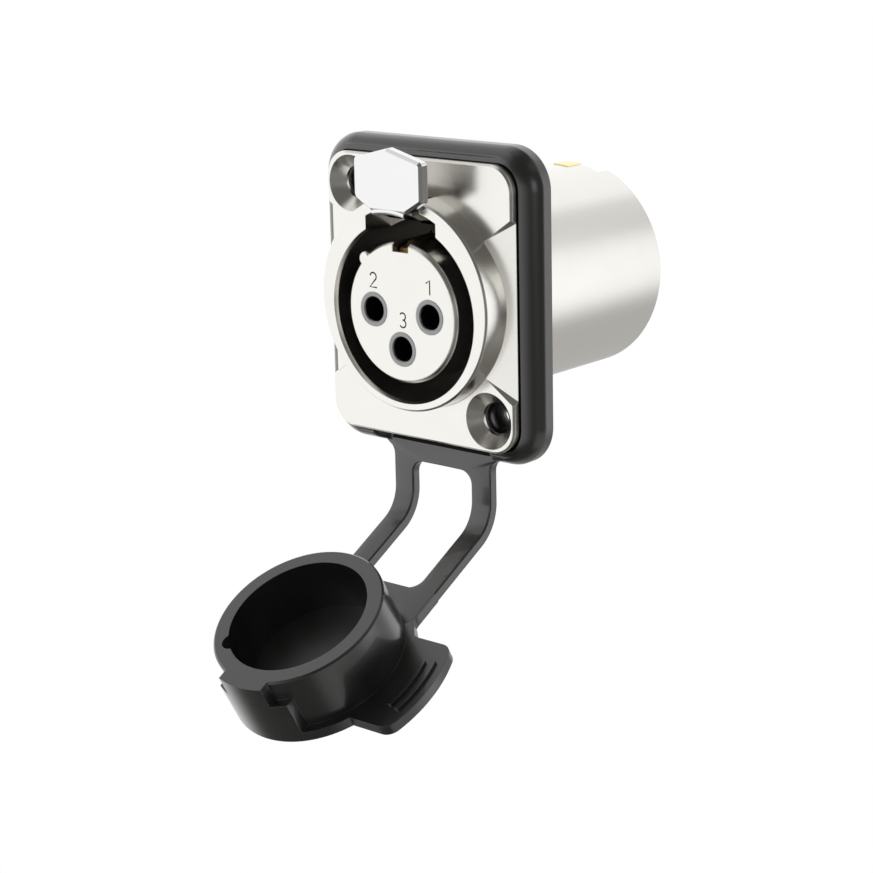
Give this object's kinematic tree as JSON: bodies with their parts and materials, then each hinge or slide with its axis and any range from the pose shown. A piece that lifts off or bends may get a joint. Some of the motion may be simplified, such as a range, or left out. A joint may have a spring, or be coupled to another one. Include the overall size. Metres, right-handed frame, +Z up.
{
  "type": "xlr panel socket",
  "caption": "Round female audio socket on a rectangular screw-on flange with a push latch, a rubber panel gasket and a rubber sealing cap on a strap.",
  "frame": {"origin": "where the barrel's axis meets the panel's front face, which is the gasket's back face", "axes": "-Y out of the mating face towards the plug, +Y into the panel, +Z up towards the push tab, +X to the right seen from the front"},
  "size_m": [0.0301, 0.0579, 0.0594],
  "materials": {
    "nickel_shell": "satin nickel plate over a zinc casting",
    "nickel_lever": "bright nickel plate",
    "carrier": "satin silver-grey",
    "contact_plate": "dull silver plate over copper alloy",
    "dark_plastic": "matt black",
    "rubber": "satin black, finely grained",
    "spring_brass": "bright gold-coloured strip",
    "steel": "plain drawn steel"
  },
  "bodies": {
    "socket": {"flange_shell": "nickel_shell", "contact_insert": "carrier", "contact_1": "contact_plate", "contact_2": "contact_plate", "contact_3": "contact_plate", "rear_insulator": "dark_plastic", "retaining_ring": "dark_plastic", "face_seal": "rubber", "keyway_spring": "spring_brass", "earth_clip": "spring_brass", "lever_pin": "steel", "lever_spring": "steel", "panel_gasket": "rubber"},
    "latch": {"push_lever": "nickel_lever"},
    "strap": {"cap_strap": "rubber"},
    "cap": {"sealing_cap": "rubber"}
  },
  "joints": [
    {"name": "lever_pivot", "type": "hinge", "parent": "socket", "child": "latch", "pos_m": [0, 0.0064, 0.0097], "axis": [1, 0, 0], "range_deg": [-6, 0], "stiffness_Nm_per_rad": 0.05, "springref_deg": 2.86},
    {"name": "strap_hinge", "type": "hinge", "parent": "socket", "child": "strap", "pos_m": [0, -0.0006, -0.0181], "axis": [1, 0, 0], "range_deg": [-69.4, 0], "stiffness_Nm_per_rad": 0.03},
    {"name": "cap_hinge", "type": "hinge", "parent": "strap", "child": "cap", "pos_m": [0, -0.00969, -0.03009], "axis": [1, 0, 0], "range_deg": [-50, 20], "stiffness_Nm_per_rad": 0.02}
  ]
}
